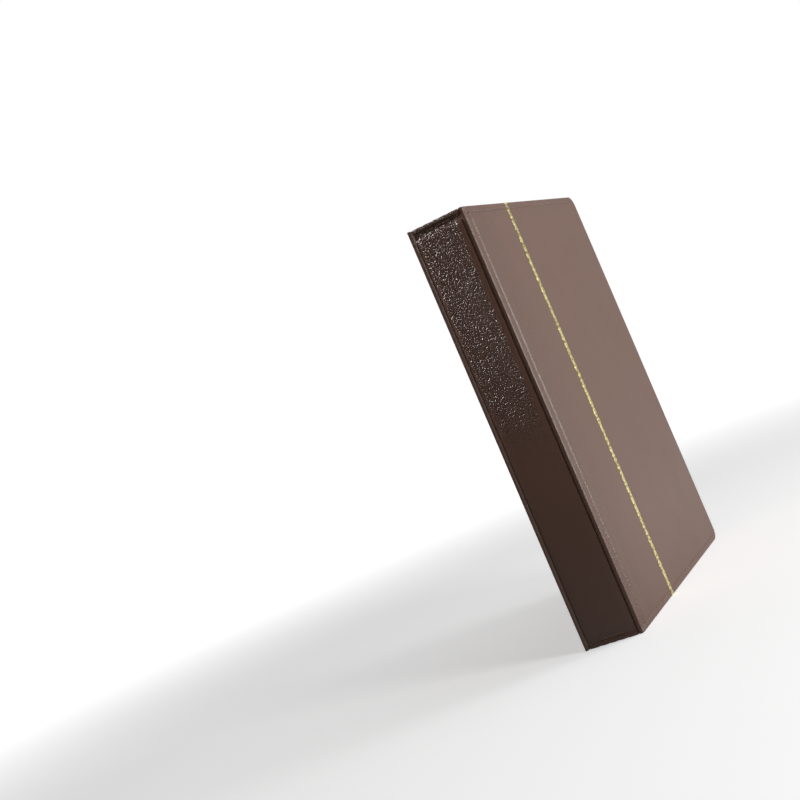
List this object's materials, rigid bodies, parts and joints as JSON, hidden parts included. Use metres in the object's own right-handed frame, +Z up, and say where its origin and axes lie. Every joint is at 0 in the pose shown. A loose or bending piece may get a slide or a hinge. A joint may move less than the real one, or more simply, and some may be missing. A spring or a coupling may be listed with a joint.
{
  "type": "stamp album",
  "caption": "Upright loose-leaf stamp album with stitched brown leatherette covers, a gold line down the front, and stock leaves turning on a lever-operated ring mechanism.",
  "frame": {"origin": "middle of the album's footprint, on the surface that it stands on", "axes": "+Z up along the spine, +X from the spine to the fore-edge, +Y from the front cover to the back"},
  "size_m": [0.2314, 0.0406, 0.28],
  "materials": {
    "leatherette": "semi-matt brown leatherette with a fine pebble grain",
    "thread": "brown sewing thread",
    "gold_foil": "hot-pressed gold foil",
    "greyboard": "plain grey binder's board",
    "wadding": "thin wadding under the skin",
    "lining_paper": "matt brown endpaper",
    "nickel_steel": "bright nickel plate on sheet steel and wire",
    "black_card": "matt black card",
    "clear_film": "clear film"
  },
  "bodies": {
    "spine": {"spine_skin": "leatherette", "spine_board": "greyboard", "spine_lining": "lining_paper", "spine_stitching": "thread", "front_hinge_strip": "leatherette", "back_hinge_strip": "leatherette", "ring_arch_plate": "nickel_steel", "ring_posts": "nickel_steel", "ring_rivets": "nickel_steel", "lever_pins": "nickel_steel"},
    "front_cover": {"front_cover_skin": "leatherette", "front_cover_padding": "wadding", "front_cover_board": "greyboard", "front_cover_lining": "lining_paper", "front_cover_stitching": "thread", "front_cover_gold_line": "gold_foil"},
    "back_cover": {"back_cover_skin": "leatherette", "back_cover_padding": "wadding", "back_cover_board": "greyboard", "back_cover_lining": "lining_paper", "back_cover_stitching": "thread"},
    "front_ring_half": {"front_toggle_plate": "nickel_steel", "front_half_rings": "nickel_steel"},
    "back_ring_half": {"back_toggle_plate": "nickel_steel", "back_half_rings": "nickel_steel"},
    "top_lever": {"top_lever": "nickel_steel"},
    "bottom_lever": {"bottom_lever": "nickel_steel"},
    "leaf_1": {"leaf_1_card": "black_card", "leaf_1_strips": "clear_film"},
    "leaf_2": {"leaf_2_card": "black_card", "leaf_2_strips": "clear_film"},
    "leaf_3": {"leaf_3_card": "black_card", "leaf_3_strips": "clear_film"},
    "leaf_4": {"leaf_4_card": "black_card", "leaf_4_strips": "clear_film"},
    "leaf_5": {"leaf_5_card": "black_card", "leaf_5_strips": "clear_film"},
    "leaf_6": {"leaf_6_card": "black_card", "leaf_6_strips": "clear_film"}
  },
  "joints": [
    {"name": "front_cover_hinge", "type": "hinge", "parent": "spine", "child": "front_cover", "pos_m": [-0.1137, -0.0183, 0.14], "axis": [0, 0, -1], "range_deg": [0, 180]},
    {"name": "back_cover_hinge", "type": "hinge", "parent": "spine", "child": "back_cover", "pos_m": [-0.1137, 0.0183, 0.14], "axis": [0, 0, 1], "range_deg": [0, 180]},
    {"name": "ring_opening", "type": "hinge", "parent": "spine", "child": "front_ring_half", "pos_m": [-0.1096, -0.0073, 0.14], "axis": [0, 0, -1], "range_deg": [0, 8]},
    {"name": "back_ring_opening", "type": "hinge", "parent": "spine", "child": "back_ring_half", "pos_m": [-0.1096, 0.0073, 0.14], "axis": [0, 0, 1], "range_deg": [0, 8]},
    {"name": "top_lever_press", "type": "hinge", "parent": "spine", "child": "top_lever", "pos_m": [-0.1081, 0, 0.267], "axis": [0, -1, 0], "range_deg": [0, 16]},
    {"name": "bottom_lever_press", "type": "hinge", "parent": "spine", "child": "bottom_lever", "pos_m": [-0.1081, 0, 0.013], "axis": [0, 1, 0], "range_deg": [0, 16]},
    {"name": "leaf_1_turn", "type": "hinge", "parent": "spine", "child": "leaf_1", "pos_m": [-0.0998, 0, 0.14], "axis": [0, 0, -1], "range_deg": [0, 85]},
    {"name": "leaf_2_turn", "type": "hinge", "parent": "spine", "child": "leaf_2", "pos_m": [-0.0998, 0, 0.14], "axis": [0, 0, -1], "range_deg": [0, 70.83]},
    {"name": "leaf_3_turn", "type": "hinge", "parent": "spine", "child": "leaf_3", "pos_m": [-0.0998, 0, 0.14], "axis": [0, 0, -1], "range_deg": [0, 56.67]},
    {"name": "leaf_4_turn", "type": "hinge", "parent": "spine", "child": "leaf_4", "pos_m": [-0.0998, 0, 0.14], "axis": [0, 0, -1], "range_deg": [0, 42.5]},
    {"name": "leaf_5_turn", "type": "hinge", "parent": "spine", "child": "leaf_5", "pos_m": [-0.0998, 0, 0.14], "axis": [0, 0, -1], "range_deg": [0, 28.33]},
    {"name": "leaf_6_turn", "type": "hinge", "parent": "spine", "child": "leaf_6", "pos_m": [-0.0998, 0, 0.14], "axis": [0, 0, -1], "range_deg": [0, 14.17]}
  ],
  "couplings": [
    {"joint": "back_ring_opening", "follows": "ring_opening", "ratio": 1},
    {"joint": "top_lever_press", "follows": "ring_opening", "ratio": 2},
    {"joint": "bottom_lever_press", "follows": "ring_opening", "ratio": 2},
    {"joint": "leaf_1_turn", "follows": "front_cover_hinge", "ratio": 0.47222},
    {"joint": "leaf_2_turn", "follows": "front_cover_hinge", "ratio": 0.39352},
    {"joint": "leaf_3_turn", "follows": "front_cover_hinge", "ratio": 0.31481},
    {"joint": "leaf_4_turn", "follows": "front_cover_hinge", "ratio": 0.23611},
    {"joint": "leaf_5_turn", "follows": "front_cover_hinge", "ratio": 0.15741},
    {"joint": "leaf_6_turn", "follows": "front_cover_hinge", "ratio": 0.078704}
  ]
}
